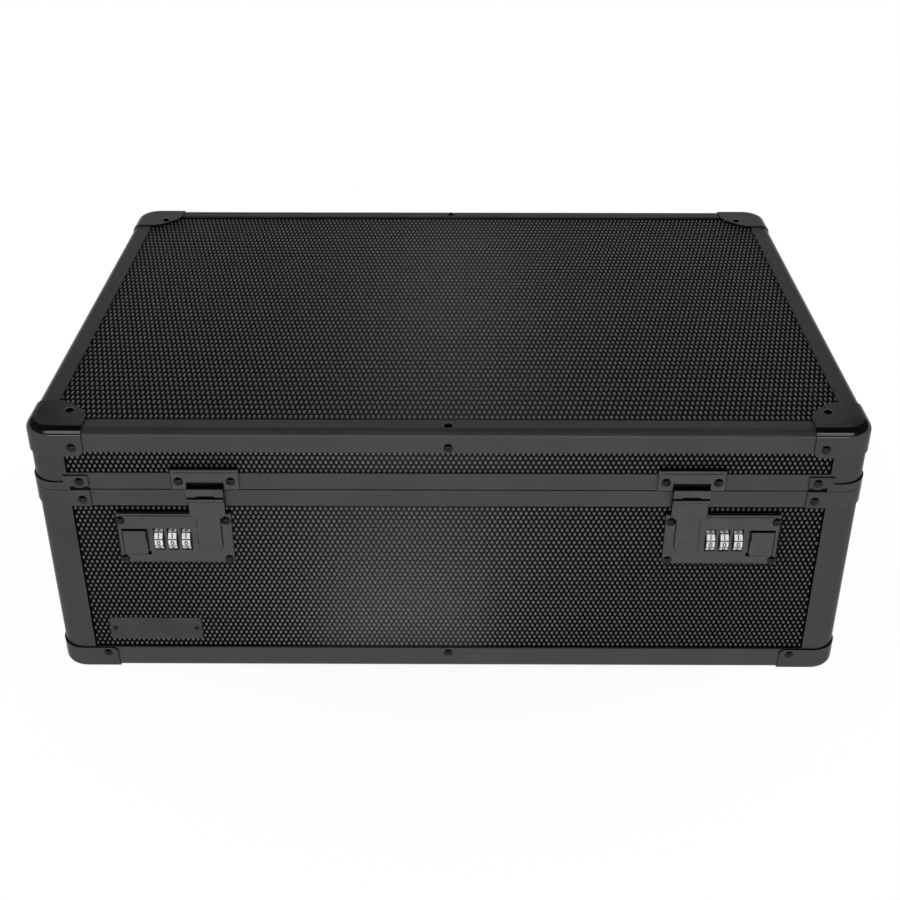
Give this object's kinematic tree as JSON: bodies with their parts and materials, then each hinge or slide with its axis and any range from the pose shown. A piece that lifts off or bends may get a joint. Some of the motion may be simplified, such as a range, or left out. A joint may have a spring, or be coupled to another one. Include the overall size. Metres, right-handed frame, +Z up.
{
  "type": "lock box",
  "caption": "Lockable storage chest with a riveted aluminium frame, hinged lid, pressed corner caps and draw latches that number dials and slide buttons lock.",
  "frame": {"origin": "on the surface that the box stands on, under the middle of the box", "axes": "+X to the right seen from the locks, +Y from the locks to the hinges, +Z up"},
  "size_m": [0.4872, 0.3581, 0.1736],
  "materials": {
    "panel": "textured",
    "frame": "satin black anodised",
    "cap": "gloss black",
    "lining": "felt",
    "badge": "satin",
    "rivet": "gloss black",
    "dial": "gloss",
    "steel": "brushed",
    "latch": "gloss black"
  },
  "bodies": {
    "base": {"base_front_panel": "panel", "base_back_panel": "panel", "base_left_panel": "panel", "base_right_panel": "panel", "base_floor_panel": "panel", "base_bottom_rails": "frame", "base_rim_rails": "frame", "base_corner_posts": "frame", "base_corner_caps": "cap", "base_corner_brackets": "cap", "base_lining": "lining", "base_rivets": "rivet", "badge_plate": "badge", "badge_pins": "rivet", "left_hinge_base_leaf": "latch", "left_hinge_pin": "steel", "left_lock_plate": "latch", "left_lock_case": "steel", "left_dial_spindle": "steel", "left_flap_pin": "steel", "right_hinge_base_leaf": "latch", "right_hinge_pin": "steel", "right_lock_plate": "latch", "right_lock_case": "steel", "right_dial_spindle": "steel", "right_flap_pin": "steel"},
    "lid": {"lid_top_panel": "panel", "lid_front_panel": "panel", "lid_back_panel": "panel", "lid_left_panel": "panel", "lid_right_panel": "panel", "lid_top_rails": "frame", "lid_rim_rails": "frame", "lid_corner_posts": "frame", "lid_corner_caps": "cap", "lid_corner_brackets": "cap", "lid_lining": "lining", "lid_rivets": "rivet", "left_hinge_lid_leaf": "latch", "left_keeper": "latch", "right_hinge_lid_leaf": "latch", "right_keeper": "latch"},
    "left_lever": {"left_flap": "latch", "left_link_pin": "steel"},
    "left_link": {"left_hook_link": "latch"},
    "left_slider": {"left_slide_button": "latch", "left_lock_bar": "steel", "left_button_spring": "steel"},
    "left_number_dial_1": {"left_dial_1": "dial"},
    "left_number_dial_2": {"left_dial_2": "dial"},
    "left_number_dial_3": {"left_dial_3": "dial"},
    "right_lever": {"right_flap": "latch", "right_link_pin": "steel"},
    "right_link": {"right_hook_link": "latch"},
    "right_slider": {"right_slide_button": "latch", "right_lock_bar": "steel", "right_button_spring": "steel"},
    "right_number_dial_1": {"right_dial_1": "dial"},
    "right_number_dial_2": {"right_dial_2": "dial"},
    "right_number_dial_3": {"right_dial_3": "dial"}
  },
  "joints": [
    {"name": "lid_hinge", "type": "hinge", "parent": "base", "child": "lid", "pos_m": [0, 0.176, 0.1321], "axis": [-1, 0, 0], "range_deg": [0, 100]},
    {"name": "left_flap_pivot", "type": "hinge", "parent": "base", "child": "left_lever", "pos_m": [-0.1402, -0.1742, 0.1304], "axis": [-1, 0, 0], "range_deg": [0, 88]},
    {"name": "left_link_pivot", "type": "hinge", "parent": "left_lever", "child": "left_link", "pos_m": [-0.1402, -0.1772, 0.1282], "axis": [-1, 0, 0], "range_deg": [-140.8, 0]},
    {"name": "left_button_slide", "type": "slide", "parent": "base", "child": "left_slider", "axis": [1, 0, 0], "range_m": [0, 0.0015], "stiffness_N_per_m": 1000, "springref_m": -0.002},
    {"name": "left_dial_1_turn", "type": "hinge", "parent": "base", "child": "left_number_dial_1", "pos_m": [-0.1543, -0.1697, 0.09745], "axis": [1, 0, 0], "continuous": true},
    {"name": "left_dial_2_turn", "type": "hinge", "parent": "base", "child": "left_number_dial_2", "pos_m": [-0.1624, -0.1697, 0.09745], "axis": [1, 0, 0], "continuous": true},
    {"name": "left_dial_3_turn", "type": "hinge", "parent": "base", "child": "left_number_dial_3", "pos_m": [-0.1705, -0.1697, 0.09745], "axis": [1, 0, 0], "continuous": true},
    {"name": "right_flap_pivot", "type": "hinge", "parent": "base", "child": "right_lever", "pos_m": [0.1402, -0.1742, 0.1304], "axis": [-1, 0, 0], "range_deg": [0, 88]},
    {"name": "right_link_pivot", "type": "hinge", "parent": "right_lever", "child": "right_link", "pos_m": [0.1402, -0.1772, 0.1282], "axis": [-1, 0, 0], "range_deg": [-140.8, 0]},
    {"name": "right_button_slide", "type": "slide", "parent": "base", "child": "right_slider", "axis": [-1, 0, 0], "range_m": [0, 0.0015], "stiffness_N_per_m": 1000, "springref_m": -0.002},
    {"name": "right_dial_1_turn", "type": "hinge", "parent": "base", "child": "right_number_dial_1", "pos_m": [0.1543, -0.1697, 0.09745], "axis": [1, 0, 0], "continuous": true},
    {"name": "right_dial_2_turn", "type": "hinge", "parent": "base", "child": "right_number_dial_2", "pos_m": [0.1624, -0.1697, 0.09745], "axis": [1, 0, 0], "continuous": true},
    {"name": "right_dial_3_turn", "type": "hinge", "parent": "base", "child": "right_number_dial_3", "pos_m": [0.1705, -0.1697, 0.09745], "axis": [1, 0, 0], "continuous": true}
  ],
  "couplings": [
    {"joint": "left_link_pivot", "follows": "left_flap_pivot", "ratio": -1.6},
    {"joint": "right_link_pivot", "follows": "right_flap_pivot", "ratio": -1.6}
  ]
}
